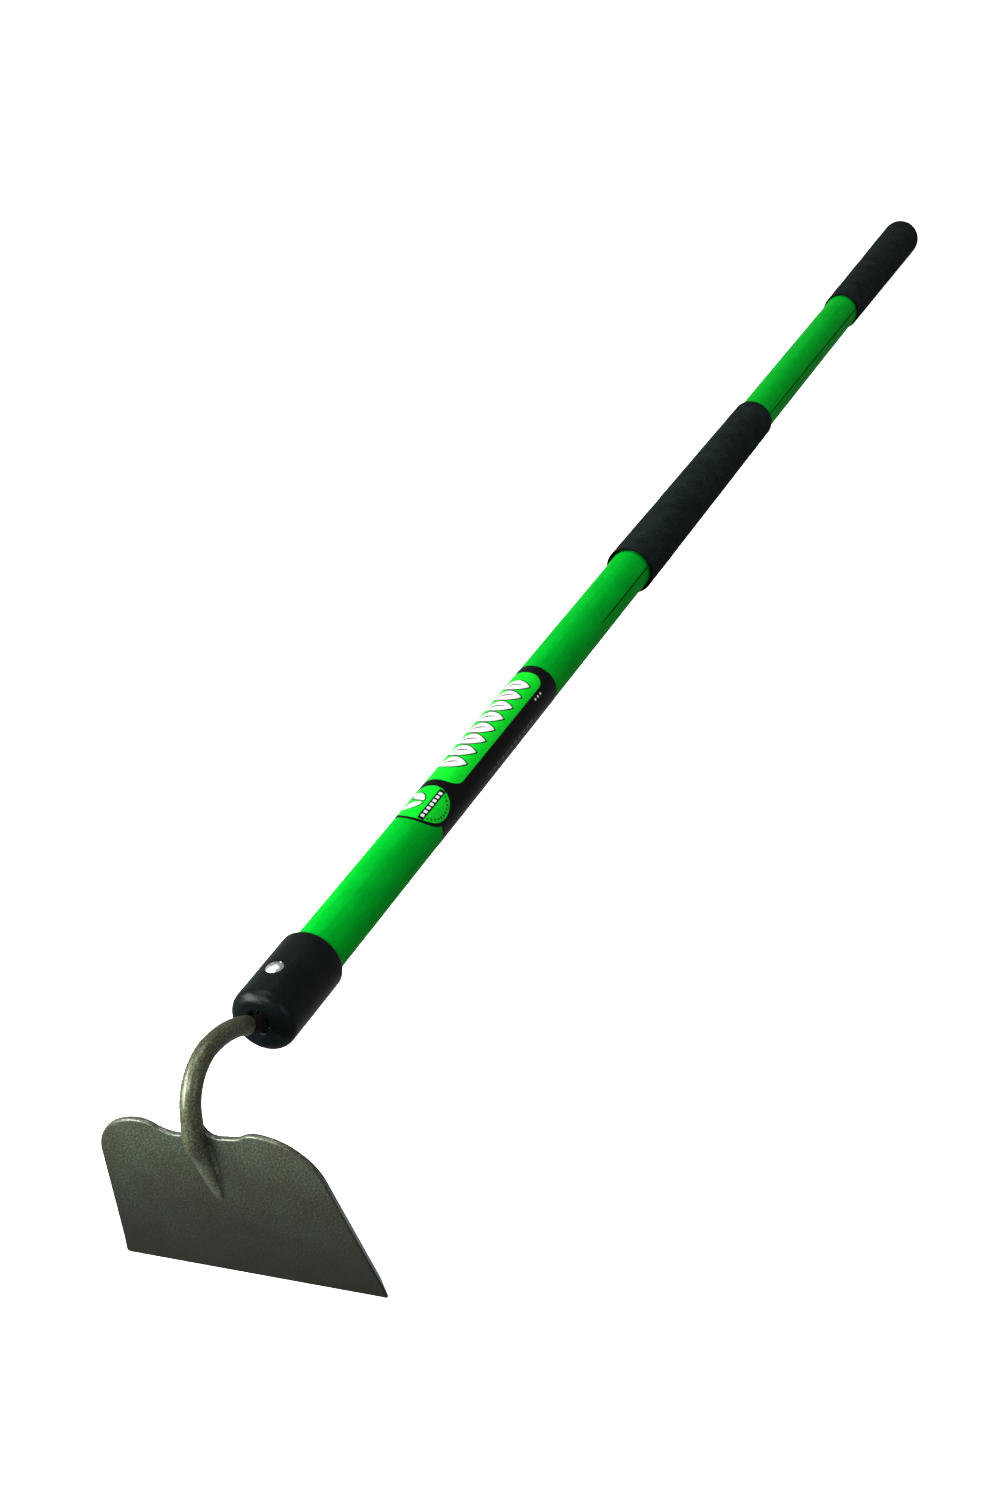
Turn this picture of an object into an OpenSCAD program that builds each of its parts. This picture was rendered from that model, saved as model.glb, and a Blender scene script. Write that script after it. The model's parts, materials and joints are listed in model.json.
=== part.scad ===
// Grub hoe: a wide steel blade on a gooseneck, riveted into a glass-fibre handle with two foam grips.
// Each sub-part is drawn in the handle's own frame: +X runs up the handle from the ferrule's closed end,
// +Z is away from the cutting edge. The whole hoe is then laid on the ground, on its cutting edge and its
// end grip, with the origin on the ground under the middle of its length.

/* [Blade] */
// Width of the cutting edge
blade_w = 158.8; // [140:0.1:180]
// Length of the straight side, from the corner up to the shoulder
side_len = 77; // [60:1:90]
// How far each side leans inwards, in degrees
side_lean = 9.9; // [5:0.1:14]
// Radius of the corners of the cutting edge
corner_r = 1.5; // [0.5:0.1:4]
// Radius where the side turns into the shoulder
shoulder_low_r = 28; // [20:1:34]
// Turn of that first arc, in degrees
shoulder_low_turn = 13; // [8:1:20]
// Radius over the top of the shoulder
shoulder_top_r = 32.5; // [26:0.5:36]
// Radius where the shoulder turns down to the notch
notch_in_r = 14; // [8:1:16]
// Radius at the bottom of the notch
notch_out_r = 23.5; // [18:0.5:25]
// How steeply the outline dips into the notch, in degrees
notch_dip = 35; // [28:1:37]
// Thickness at the top of the blade
blade_t = 3.2; // [2.5:0.1:4]
// Thickness where the sharpened strip starts
blade_t_low = 2.6; // [2:0.1:2.6]
// Height of the sharpened strip
bevel_h = 12; // [6:0.5:20]
// Thickness left at the cutting edge
edge_t = 0.5; // [0.3:0.1:1]
// Angle between the blade and the handle, in degrees
blade_angle = 84.8; // [80:0.1:88]
// Distance of the cutting edge below the handle's axis
edge_drop = 113.7; // [105:0.1:120]
// Distance of the cutting edge in front of the ferrule's closed end
edge_ahead = 60.9; // [55:0.1:66]

/* [Gooseneck] */
// Diameter of the bent bar
bar_d = 10.5; // [9:0.1:12]
// Diameter of the thicker foot that lies on the blade
foot_d = 11.6; // [10.5:0.1:12.4]
// Length of the straight tang inside the handle
tang_len = 62; // [50:1:80]
// Where the tang starts to bend, measured from the ferrule's closed end
mouth_x = 4.7; // [4:0.1:5]
// Centreline radius of the bend at the mouth
mouth_bend_r = 13; // [11:0.5:14]
// Angle of the bend at the mouth
mouth_bend = 34; // [30:1:36]
// Straight run between the mouth and the arch
rise_len = 9.3; // [8:0.1:11]
// Centreline radius of the arch's long first stretch
arch_r = 61; // [55:1:66]
// Angle of the arch's first stretch
arch_turn = 30; // [26:1:32]
// Centreline radius of the arch's tight second stretch
drop_r = 28; // [25:0.5:31]
// Angle of the arch's second stretch
drop_turn = 78; // [74:1:80]
// Run over which the bar thickens towards its foot
swell_len = 11; // [9:0.5:13]
// Centreline radius of the bend that lays the foot on the blade
foot_bend_r = 30; // [26:1:34]
// Angle of that bend
foot_turn = 30; // [27:1:32]
// Straight run of the foot before it narrows
foot_len = 5; // [3:0.5:8]
// Length over which the foot narrows to its point
point_len = 26.4; // [20:0.2:30]

/* [Weld] */
// Radius of the smooth fillet between the neck and the blade's notch
weld_r = 9.5; // [7:0.5:10]
// Thickness of the fillet, a little less than the blade's
weld_t = 3; // [2:0.1:3.1]

/* [Ferrule] */
// Length of the ferrule
ferrule_len = 59; // [50:1:70]
// Radius at its closed end
ferrule_r = 18.75; // [18:0.05:20]
// Radius at its open end
ferrule_rim_r = 18.95; // [18:0.05:20]
// Rounding of the closed end
ferrule_end_round = 6.5; // [4:0.5:8]
// Rounding of the open rim
ferrule_rim_round = 3; // [1:0.5:3.5]
// Thickness of the closed end's wall
ferrule_wall = 5; // [4:0.5:7]
// Radius of the slot that lets the tang out
mouth_r = 5.7; // [5.6:0.1:7]
// How far the slot reaches up, to clear the bend
mouth_rise = 3.4; // [3:0.1:5]

/* [Rivet] */
// Distance of the rivet from the ferrule's closed end
rivet_x = 25.2; // [20:0.1:35]
// Diameter of the shank
rivet_d = 4.8; // [4:0.1:5.5]
// Diameter of the domed head
rivet_head_d = 10; // [8:0.1:12]
// Height of the domed head
rivet_head_h = 2.3; // [1.5:0.1:3]
// Diameter of the closed, hammered head
rivet_tail_d = 9; // [8:0.1:11]
// Height of the closed head
rivet_tail_h = 1.9; // [1:0.1:2.5]
// Half the distance between the flat seats under the two heads
rivet_seat = 18.1; // [17.6:0.1:18.4]

/* [Handle] */
// Outer diameter of the tube
tube_d = 30; // [28:0.5:32]
// Wall of the tube
tube_wall = 2.8; // [2:0.1:4]
// Distance from the ferrule's closed end to the tip of the end grip
handle_len = 1373; // [1200:1:1500]
// Length of the core that holds the tang
core_len = 70; // [66:1:100]
// Foam and plug flange beyond the end of the tube
tip_wall = 7; // [5:0.5:10]
// Depth of the top plug inside the tube
plug_len = 25; // [15:1:40]
// Thickness of the top plug's flange
plug_flange = 2.5; // [1.5:0.5:4]
// Where the label starts
label_x = 178.5; // [100:0.5:250]
// Length of the label
label_len = 191.5; // [100:0.5:200]
// Thickness of the label's film
label_t = 0.12; // [0.1:0.01:0.2]

/* [Grips] */
// Where the middle grip starts
mid_grip_x = 547; // [450:1:700]
// Length of the middle grip
mid_grip_len = 298; // [200:1:350]
// Radius of the middle grip at its lower end
mid_grip_r = 17.9; // [17:0.1:20]
// Radius of the middle grip at its upper end
mid_grip_top_r = 16.9; // [16.5:0.1:20]
// Rounding of the middle grip's ends
mid_grip_round = 1.4; // [0.8:0.1:1.6]
// Length of the end grip
end_grip_len = 248; // [150:1:300]
// Radius of the end grip at its open end
end_grip_r = 16.9; // [16.5:0.1:20]
// Radius of the end grip next to its round tip
end_grip_tip_r = 18.5; // [17:0.1:22]
// Rounding of the closed tip
end_grip_round = 12; // [6:0.5:14]

/* [Hidden] */
$fn = 96;
tang_step = 0.05;
arc_step = 6;
run_step = 6;
bar_sides = 28;
far = 400;
tube_r = tube_d / 2;
core_r = tube_r - tube_wall;
bar_r = bar_d / 2;
foot_r = foot_d / 2;
blade_lean = 90 - blade_angle;
tube_end = handle_len - tip_wall;
side_turn = 90 + side_lean;
corner_run = corner_r * tan(side_turn / 2);
end_grip_x = handle_len - end_grip_len;

// The outline of half the blade, from the cutting edge's corner round to the bottom of the notch
blade_moves = [
    [corner_r, side_turn],
    [0, side_len],
    [shoulder_low_r, shoulder_low_turn],
    [shoulder_top_r, 90 - side_lean - shoulder_low_turn],
    [notch_in_r, notch_dip],
    [notch_out_r, -notch_dip]
];
half_outline = walk(blade_moves, [blade_w / 2 - corner_run, 0], 0);
notch_v = last(half_outline)[1];
blade_top = max([for (p = half_outline) p[1]]);

// The ground line runs from the cutting edge to the underside of the round tip
tip_centre = [handle_len - end_grip_round, end_grip_round - end_grip_tip_r];
edge_to_tip = [tip_centre[0] + edge_ahead, tip_centre[1] + edge_drop];
lie_angle = atan2(edge_to_tip[1], edge_to_tip[0]) - asin(end_grip_round / norm(edge_to_tip));
ground = edge_drop * cos(lie_angle) - edge_ahead * sin(lie_angle);

// The bent bar from the mouth to its foot: [bend radius or 0, turn or length, radius of the bar at the end]
neck_moves = [
    [mouth_bend_r, mouth_bend, bar_r],
    [0, rise_len, bar_r],
    [arch_r, -arch_turn, bar_r],
    [drop_r, -drop_turn, bar_r],
    [0, swell_len, foot_r],
    [foot_bend_r, -foot_turn, foot_r],
    [0, foot_len, foot_r]
];
neck_start = [[mouth_x + tang_len / 40, 0], 0, bar_r - tang_step];
neck_run = concat([neck_start], follow(neck_moves, [mouth_x, 0], 0, bar_r - tang_step));
neck = concat(neck_run, point_stations(last(neck_run)));

// The hoe's front is the neck's foremost bend, and its back is the top of the round tip
front = min([for (s = neck) along_ground(s[0]) - s[2]]);
back = along_ground([tip_centre[0], -tip_centre[1]]) + end_grip_round;

function last(list) = list[len(list) - 1];

// How far along the ground a point of the handle's middle plane comes to lie
function along_ground(p) = p[0] * cos(lie_angle) + p[1] * sin(lie_angle);

// Points along an arc that starts at p with the given heading, left turns positive
function arc_points(p, heading, r, turn) =
    let (n = ceil(abs(turn) / arc_step), side = sign(turn), c = p + side * r * [-sin(heading), cos(heading)])
    [for (i = [1:n]) c + side * r * [sin(heading + turn * i / n), -cos(heading + turn * i / n)]];

// Points of an outline given as moves: [0, length] is a straight run, [radius, turn] is an arc
function walk(moves, p, heading, i = 0) =
    i == len(moves) ? [] :
    let (m = moves[i], run = m[0] == 0, step = m[1] * [cos(heading), sin(heading)])
    let (pts = run ? [p + step] : arc_points(p, heading, m[0], m[1]))
    concat(pts, walk(moves, last(pts), run ? heading : heading + m[1], i + 1));

// The direction of the bar at a heading, where 0 is -X and 90 is up, and the direction that it bends up to
function bar_ahead(heading) = [-cos(heading), sin(heading)];
function bar_up(heading) = [sin(heading), cos(heading)];

// Stations along one move of the bar, each with its centre, heading and radius
function stations(m, p, heading, r) =
    let (run = m[0] == 0, n = ceil(abs(m[1]) / (run ? run_step : arc_step)))
    let (c = p + sign(m[1]) * m[0] * bar_up(heading))
    [for (i = [1:n]) let (h = run ? heading : heading + m[1] * i / n) [
        run ? p + m[1] * i / n * bar_ahead(h) : c - sign(m[1]) * m[0] * bar_up(h),
        h,
        r + (m[2] - r) * i / n
    ]];

// Stations along all the bar's moves
function follow(moves, p, heading, r, i = 0) =
    i == len(moves) ? [] :
    let (s = stations(moves[i], p, heading, r), end = last(s))
    concat(s, follow(moves, end[0], end[1], end[2], i + 1));

// Stations along the foot's point, whose radius follows an arc down to nothing
function point_stations(start) =
    let (arc_r = (point_len * point_len + foot_r * foot_r) / (2 * foot_r), n = 8)
    [for (i = [1:n]) let (s = i == n ? 0.995 * point_len : point_len * sin(90 * i / n)) [
        start[0] + s * bar_ahead(start[1]),
        start[1],
        foot_r - arc_r + sqrt(arc_r * arc_r - s * s)
    ]];

// Places something drawn in the handle's frame on the ground
module lay() {
    translate([-(front + back) / 2, 0, ground]) rotate([0, lie_angle, 0]) children();
}

// Stands a shape drawn round the Z axis along the handle
module along_handle(x = 0) {
    translate([x, 0, 0]) rotate([0, 90, 0]) children();
}

// The blade's frame: its front face is the YZ plane, with the cutting edge along Y
module on_blade() {
    translate([-edge_ahead, 0, -edge_drop]) rotate([0, -blade_lean, 0]) children();
}

// A flat shape drawn on the blade, running back from its front face
module blade_plate(t) {
    rotate([90, 0, 90]) linear_extrude(t) children();
}

// The blade's thickness, seen from the side
module blade_section() {
    rotate([90, 0, 0]) linear_extrude(blade_w, center = true) polygon([
        [0, 0],
        [edge_t, 0],
        [blade_t_low, bevel_h],
        [blade_t, blade_top + 1],
        [0, blade_top + 1]
    ]);
}

module blade_shape() {
    mirrored = [for (i = [len(half_outline) - 1:-1:0]) [-half_outline[i][0], half_outline[i][1]]];
    on_blade() intersection() {
        blade_plate(2 * blade_t) polygon(concat(half_outline, mirrored));
        blade_section();
    }
}

module blade() {
    color("dimgray") lay() blade_shape();
}

// A closed skin of rings round the stations
module swept(list, sides) {
    rings = [for (s = list) for (i = [0:sides - 1]) let (a = 360 * i / sides, u = bar_up(s[1])) [
        s[0][0] + s[2] * cos(a) * u[0],
        s[2] * sin(a),
        s[0][1] + s[2] * cos(a) * u[1]
    ]];
    ends = [[for (i = [0:sides - 1]) i], [for (i = [sides - 1:-1:0]) (len(list) - 1) * sides + i]];
    bands = [for (k = [0:len(list) - 2]) for (i = [0:sides - 1]) let (j = (i + 1) % sides)
        [k * sides + i, (k + 1) * sides + i, (k + 1) * sides + j, k * sides + j]];
    polyhedron(rings, concat(ends, bands));
}

// The tang is a true round bar, which the neck leaves from just inside its end
module bar() {
    along_handle(mouth_x) cylinder(h = tang_len, r = bar_r);
    swept(neck, bar_sides);
}

// Everything behind the blade's front face and below its notch
module behind_blade() {
    on_blade() translate([0, -blade_w / 2, 0]) cube([blade_w / 4, blade_w, notch_v]);
}

module gooseneck() {
    color("darkolivegreen") lay() difference() {
        bar();
        behind_blade();
        rivet_hole();
    }
}

// One fillet fills the corner between the neck's side and the bottom of the notch
module weld_corner() {
    difference() {
        translate([bar_r / 2, notch_v]) square([foot_r + weld_r - bar_r / 2, weld_r]);
        translate([foot_r + weld_r, notch_v + weld_r]) circle(weld_r);
    }
}

module neck_weld() {
    color("dimgray") lay() difference() {
        on_blade() for (side = [0, 1]) mirror([0, side, 0]) blade_plate(weld_t) weld_corner();
        bar();
    }
}

module rivet_hole() {
    translate([rivet_x, 0, 0]) cylinder(h = 3 * tube_d, r = rivet_d / 2, center = true);
}

module rivet_dome(d, h) {
    sphere_r = (d * d / 4 + h * h) / (2 * h);
    intersection() {
        translate([0, 0, h - sphere_r]) sphere(sphere_r);
        cylinder(h = h + 1, r = d);
    }
}

module rivet() {
    color("silver") lay() translate([rivet_x, 0, 0]) {
        cylinder(h = 2 * rivet_seat, r = rivet_d / 2, center = true);
        translate([0, 0, rivet_seat]) rivet_dome(rivet_head_d, rivet_head_h);
        rotate([180, 0, 0]) translate([0, 0, rivet_seat]) rivet_dome(rivet_tail_d, rivet_tail_h);
    }
}

// A sleeve turned about the handle: rounded by start_round and end_round, with its radius going r0 to r1
module sleeve(l, r0, r1, start_round, end_round) {
    lean = atan((r1 - r0) / l);
    outline = walk([
        [start_round, 90 - lean],
        [0, (l - start_round - end_round) / cos(lean)],
        [end_round, 90 + lean]
    ], [r0 - start_round, 0], 0);
    rotate_extrude() polygon(concat([[0, 0], [r0 - start_round, 0]], outline, [[0, last(outline)[1]]]));
}

module ferrule() {
    color("#15191b") lay() difference() {
        along_handle() sleeve(ferrule_len, ferrule_r, ferrule_rim_r, ferrule_end_round, ferrule_rim_round);
        along_handle(ferrule_wall) cylinder(h = far, r = tube_r);
        for (z = [0, mouth_rise]) translate([0, 0, z]) along_handle(-1) cylinder(h = far, r = mouth_r);
        translate([-1, -mouth_r, 0]) cube([2 + ferrule_wall, 2 * mouth_r, mouth_rise]);
        rivet_hole();
        for (turn = [0, 180]) rotate([turn, 0, 0]) translate([rivet_x, 0, rivet_seat])
            cylinder(h = tube_d, r = rivet_head_d / 2 + 0.2);
    }
}

module tang_core() {
    color("burlywood") lay() difference() {
        along_handle(ferrule_wall) cylinder(h = core_len, r = core_r);
        along_handle() cylinder(h = mouth_x + tang_len, r = bar_r);
        rivet_hole();
    }
}

module handle_tube() {
    color("#0b8a2a") lay() difference() {
        along_handle(ferrule_wall) cylinder(h = tube_end - ferrule_wall, r = tube_r);
        along_handle(ferrule_wall - 1) cylinder(h = handle_len, r = core_r);
        rivet_hole();
    }
}

module label() {
    color("#111111") lay() along_handle(label_x) difference() {
        cylinder(h = label_len, r = tube_r + label_t);
        translate([0, 0, -1]) cylinder(h = label_len + 2, r = tube_r);
    }
}

module mid_grip() {
    color("#1c2021") lay() along_handle(mid_grip_x) difference() {
        sleeve(mid_grip_len, mid_grip_r, mid_grip_top_r, mid_grip_round, mid_grip_round);
        translate([0, 0, -1]) cylinder(h = far, r = tube_r);
    }
}

module end_grip() {
    color("#1c2021") lay() along_handle(end_grip_x) difference() {
        sleeve(end_grip_len, end_grip_r, end_grip_tip_r, mid_grip_round, end_grip_round);
        translate([0, 0, -1]) cylinder(h = 1 + end_grip_len - tip_wall + plug_flange, r = tube_r);
    }
}

module top_plug() {
    color("dimgray") lay() along_handle(tube_end - plug_len) {
        cylinder(h = plug_len, r = core_r);
        translate([0, 0, plug_len]) cylinder(h = plug_flange, r = tube_r);
    }
}

blade();
gooseneck();
neck_weld();
ferrule();
tang_core();
rivet();
handle_tube();
label();
mid_grip();
end_grip();
top_plug();
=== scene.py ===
import json
import math

import bmesh
import bpy
from mathutils import Matrix, Vector, noise


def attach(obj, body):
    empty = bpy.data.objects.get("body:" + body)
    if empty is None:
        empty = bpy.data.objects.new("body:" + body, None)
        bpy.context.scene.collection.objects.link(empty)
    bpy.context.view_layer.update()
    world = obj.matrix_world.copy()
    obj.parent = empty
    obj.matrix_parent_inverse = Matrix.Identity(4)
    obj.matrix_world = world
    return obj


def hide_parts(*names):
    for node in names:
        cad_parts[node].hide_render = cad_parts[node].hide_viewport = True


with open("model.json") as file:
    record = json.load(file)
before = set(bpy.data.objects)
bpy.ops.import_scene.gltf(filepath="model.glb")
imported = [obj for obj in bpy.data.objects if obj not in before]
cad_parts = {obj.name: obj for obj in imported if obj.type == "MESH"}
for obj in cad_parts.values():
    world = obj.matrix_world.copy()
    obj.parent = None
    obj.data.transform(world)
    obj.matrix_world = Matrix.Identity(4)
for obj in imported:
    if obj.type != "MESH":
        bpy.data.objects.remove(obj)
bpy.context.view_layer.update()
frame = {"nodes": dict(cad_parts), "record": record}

# The looks of a grub hoe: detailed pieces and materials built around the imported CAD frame.
# Pieces are drawn in millimetres in one of two local frames, which are read off the frame itself:
# HANDLE has +X up the handle from the ferrule's closed end and +Z away from the cutting edge,
# BLADE has its front face on X = 0, +X towards the handle and +Z up the blade from the cutting edge.
MM = 0.001
SIDEWAYS = Vector((0, 1, 0))
SMOOTH_BELOW = math.radians(35)

# Camera: where it stands, which way it looks and how it is rolled
CAMERA_AT = (-1.2822, -0.5513, 0.7261)
CAMERA_HEADING = math.radians(59.71)
CAMERA_DOWN = math.radians(30.71)
CAMERA_ROLL = math.radians(14.03)
CAMERA_LENS = 48.25

# Blade, in millimetres and degrees. The outline is a list of moves: (0, length) runs straight,
# (radius, turn) follows an arc, and left turns are positive
SIDE_LEAN = 9.9
CORNER_R = 1.5
SIDE_LEN = 77.0
SHOULDER_ARCS = [(28.0, 13.0), (32.5, 90 - 13.0 - SIDE_LEAN), (14.0, 35.0)]
NOTCH_ARCS = [(23.5, -32.5), (8.6, -92.5)]
NOTCH_LIFT = (1.9, -15.5, 7.5)  # how high, where and how wide
BLADE_T_LOW = 2.6
BLADE_T_TOP = 3.2
BEVEL_H = 12.0
EDGE_T = 0.5
FRONT_ROUND = 1.1
BACK_ROUND = 0.7
BLADE_COLUMNS = 96
CORNER_ROWS = 4
STRIP_ROWS = 4
SIDE_ROWS = 22

# Neck: (bend radius or 0, turn or length, bar radius at the end of the move)
MOUTH_X = 4.7
TANG_LEN = 62.0
TANG_R = 5.2
ROOT_R = 4.7
LACQUER_FROM = 15.0
TANG_STATIONS = 13
NECK_MOVES = [
    (13.0, 34.0, 5.15),
    (0, 9.3, 5.15),
    (61.0, -30.0, 5.25),
    (28.0, -78.0, 5.5),
    (0, 11.0, 5.8),
    (30.0, -30.0, 5.8),
    (0, 5.0, 5.8),
]

# Foot: the ridge that the bar ends in, from its tip up the blade's face, and where the bar blends into it
FOOT_TIP = 54.0
FOOT_TOP = 104.0
FOOT_HEIGHT = 9.2
FOOT_HALF_WIDTH = 7.1
FOOT_LEAN = 1.5
FOOT_FILLET = 1.9
FOOT_SUNK = 1.5
BLEND_TOP = 106.0
BLEND_LOW = 83.0
FOOT_STEPS = (15, 8, 7)  # points round a half section's crown, its fillet and its sunk underside

# Ferrule
FERRULE_END_ROUND = 6.5
FERRULE_RIM_ROUND = 3.0
FERRULE_WALL = 5.0
MOUTH_R = 5.7
MOUTH_RISE = 3.4
MOUTH_LIP = 0.45

# Rivet
RIVET_SHANK_R = 2.4
RIVET_SEAT = 18.1
RIVET_HEAD = (5.0, 2.3)  # rim radius and height
RIVET_TAIL = (4.5, 1.9)

# Tube and its seam line
TUBE_WALL = 2.8
SEAM_AT = math.radians(78.5)
SEAM_TWIST = math.radians(9.0)
SEAM_WIDTH = 1.3
SEAM_DEPTH = 0.45
SEAM_LINE = 1.0
SEAM_OPENS = (70.0, 110.0)  # where the groove starts and is at its full depth, past the label's end
# Where the seam's strip of painted shade starts past the label's end, and how far it tucks under the grips.
SHADE_STRIP_FROM = 75.0
SHADE_STRIP_TUCK = 6.0

# Label film and its print, unrolled: along the handle, and round it from the top towards -Y
FILM_T = 0.12
PRINT_T = 0.03
BADGE_R = 17.5
BADGE_AT = (20.2, 2.6)
BADGE_MARGIN = 2.2
FILM_STEP = 14.0
PANEL_END = 9.5
PANEL_LEN = 137.0
PANEL_EDGES = (-17.0, 13.9)
PANEL_CORNER = 9.0
LEAF_ROW = (66.0, 14.1, 8)  # first leaf, step, count
LEAF_AT = -0.2
LEAF_LEAN = -14
LEAF_BORDER = (21.4, 13.9)  # length and width of a leaf's dark border, its white inside and its dark rib
LEAF_INSIDE = (19.0, 11.8)
LEAF_RIB = (13.0, 1.5)
BAND = (16.0, 2.0)  # half length and half width of the badge's dark band, and where it lies in the badge
BAND_AT = 5.6
DOT_RING = 15.4

# Foam
FOAM_LIP = (1.4, 0.30)  # length of a rounded lip, and its share of the wall
FOAM_FLARE = (7.0, 0.60)  # depth of a flared bore, and its share of the wall
FOAM_GAP = 0.25
MID_TAPER = -1.0  # how much each sleeve's radius grows from its start to its end
END_TAPER = 1.6
TIP_ROUND = 16.0
TIP_FLAT_R = 3.0


# ---------------------------------------------------------------- frames and measures

def mount(name):
    return next(m for m in frame["record"]["mounts"] if m["name"] == name)


def node_points(node, place):
    """A CAD node's vertices in a local frame, in millimetres."""
    inverse = place.inverted()
    return [inverse @ v.co for v in frame["nodes"][node].data.vertices]


def axes_at(origin, along, scale=MM):
    """A local frame with X along the given direction and Y sideways."""
    turn = Matrix((along, SIDEWAYS, along.cross(SIDEWAYS))).transposed().to_4x4()
    return Matrix.Translation(origin) @ turn @ Matrix.Scale(scale, 4)


def handle_frame():
    clip = mount("rack_clip")
    place = axes_at(Vector(clip["pos_m"]), Vector(clip["axis"]).normalized())
    closed_end = min(p.x for p in node_points("ferrule", place))
    return place @ Matrix.Translation((closed_end, 0, 0))


def blade_frame():
    node = frame["nodes"]["blade"]
    front = max((p for p in node.data.polygons if p.normal.x < 0), key=lambda p: p.area)
    place = axes_at(front.center, -front.normal)
    bottom = min(p.z for p in node_points("blade", place))
    middle = place.inverted() @ Vector((place.translation.x, 0, place.translation.z))
    return place @ Matrix.Translation((0, middle.y, bottom))


HANDLE = handle_frame()
BLADE = blade_frame()


def handle_span(node):
    """Where a CAD node starts and ends along the handle, and its largest radius about the handle's axis."""
    points = node_points(node, HANDLE)
    along = [p.x for p in points]
    return min(along), max(along), max(math.hypot(p.y, p.z) for p in points)


# ---------------------------------------------------------------- mesh helpers

def smoothstep(low, high, x):
    t = min(1.0, max(0.0, (x - low) / (high - low)))
    return t * t * (3 - 2 * t)


def mix(a, b, t):
    return a + (b - a) * t


def walk(moves, start, heading, arc_step=3.0):
    """Points along an outline given as moves, from a start point and a heading in degrees."""
    points, here = [start], start
    for radius, amount in moves:
        if radius == 0:
            turn = math.radians(heading)
            here = (here[0] + amount * math.cos(turn), here[1] + amount * math.sin(turn))
            points.append(here)
            continue
        side = math.copysign(1, amount)
        turn = math.radians(heading)
        centre = (here[0] - side * radius * math.sin(turn), here[1] + side * radius * math.cos(turn))
        count = math.ceil(abs(amount) / arc_step)
        for i in range(1, count + 1):
            turn = math.radians(heading + amount * i / count)
            here = (centre[0] + side * radius * math.sin(turn), centre[1] - side * radius * math.cos(turn))
            points.append(here)
        heading += amount
    return points


def resample(points, count):
    """The same open outline with count + 1 points at equal distances."""
    lengths = [0.0]
    for a, b in zip(points, points[1:]):
        lengths.append(lengths[-1] + math.dist(a, b))
    result, k = [], 0
    for i in range(count + 1):
        goal = lengths[-1] * i / count
        while k < len(points) - 2 and lengths[k + 1] < goal:
            k += 1
        t = (goal - lengths[k]) / (lengths[k + 1] - lengths[k])
        result.append((mix(points[k][0], points[k + 1][0], t), mix(points[k][1], points[k + 1][1], t)))
    return result


def loft(rings, closed=False):
    """Vertices and faces of a skin over rings of equal length.
    Its ends are capped unless it closes on itself."""
    n = len(rings[0])
    verts = [p for ring in rings for p in ring]
    count = len(rings)
    pairs = [(k, (k + 1) % count) for k in range(count if closed else count - 1)]
    faces = [(a * n + i, a * n + (i + 1) % n, b * n + (i + 1) % n, b * n + i)
             for a, b in pairs for i in range(n)]
    if not closed:
        faces.append(tuple(reversed(range(n))))
        faces.append(tuple(range((count - 1) * n, count * n)))
    return verts, faces


def turned(profile, angles, shape=None):
    """Rings about the handle's axis for a profile of (x, radius) points."""
    rings = []
    for x, radius in profile:
        ring = []
        for a in angles:
            r = shape(x, radius, a) if shape else radius
            ring.append((x, -r * math.sin(a), r * math.cos(a)))
        rings.append(ring)
    return rings


def even_angles(count):
    return [2 * math.pi * i / count for i in range(count)]


def arc(centre, radii, start, end, count):
    """Points along an elliptic arc, angles in degrees, both ends included."""
    result = []
    for i in range(count + 1):
        a = math.radians(mix(start, end, i / count))
        result.append((centre[0] + radii[0] * math.cos(a), centre[1] + radii[1] * math.sin(a)))
    return result


def line(start, end, count):
    """Points along a straight line, without its two ends."""
    return [(mix(start[0], end[0], i / count), mix(start[1], end[1], i / count)) for i in range(1, count)]


def add_piece(name, skin, place, material, replaced=()):
    """Makes a mesh from a skin drawn in a local frame, and lets it ride on the hoe's one body."""
    verts, faces = skin
    mesh = bpy.data.meshes.new(name)
    mesh.from_pydata([place @ Vector(v) for v in verts], [], faces)
    tidy = bmesh.new()
    tidy.from_mesh(mesh)
    bmesh.ops.remove_doubles(tidy, verts=tidy.verts, dist=0.002 * MM)
    bmesh.ops.recalc_face_normals(tidy, faces=tidy.faces)
    tidy.to_mesh(mesh)
    tidy.free()
    for face in mesh.polygons:
        face.use_smooth = True
    mesh.set_sharp_from_angle(angle=SMOOTH_BELOW)
    mesh.materials.append(material)
    piece = bpy.data.objects.new(name, mesh)
    bpy.context.scene.collection.objects.link(piece)
    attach(piece, "root")
    if replaced:
        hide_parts(*replaced)
    return piece


# ---------------------------------------------------------------- material helpers

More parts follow.
